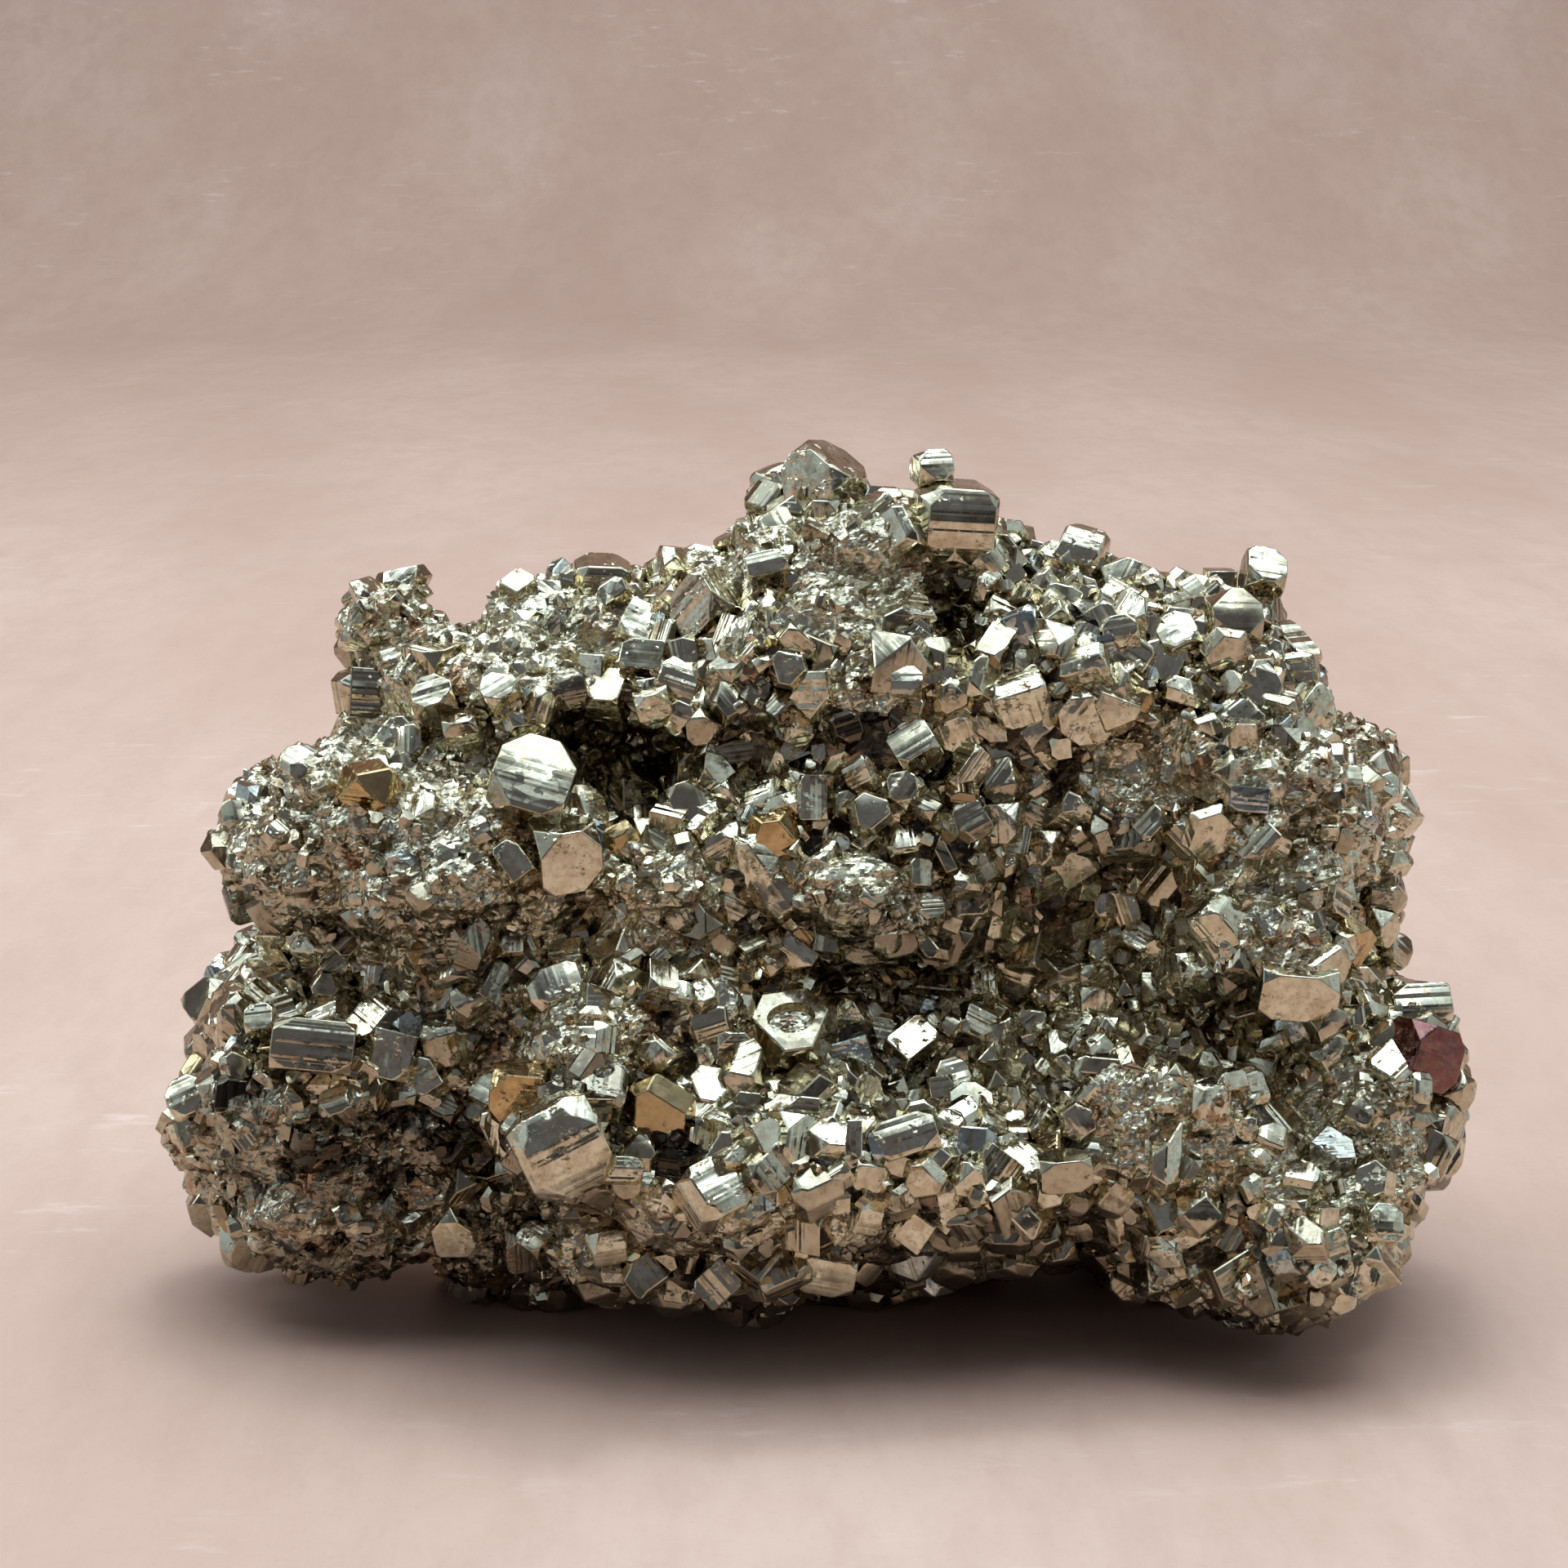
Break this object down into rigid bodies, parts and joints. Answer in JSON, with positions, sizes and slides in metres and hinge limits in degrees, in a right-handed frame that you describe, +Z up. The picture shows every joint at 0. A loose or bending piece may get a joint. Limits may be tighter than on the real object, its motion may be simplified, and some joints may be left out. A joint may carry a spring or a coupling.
{
  "type": "pyrite specimen",
  "caption": "Natural mass of intergrown brassy pyrite crystals with ledges, hollows and granular patches, resting on its levelled underside.",
  "frame": {"origin": "middle of the underside, on the surface that the specimen stands on", "axes": "+Z up, +X along the length, -Y out of the open side with the hollows and the largest crystals"},
  "size_m": [0.1002, 0.0604, 0.0649],
  "materials": {
    "pyrite": "pale brassy metallic mineral: striated mirror-like crystal faces between granular patches"
  },
  "bodies": {
    "root": {"pyrite_cluster": "pyrite"}
  },
  "joints": []
}
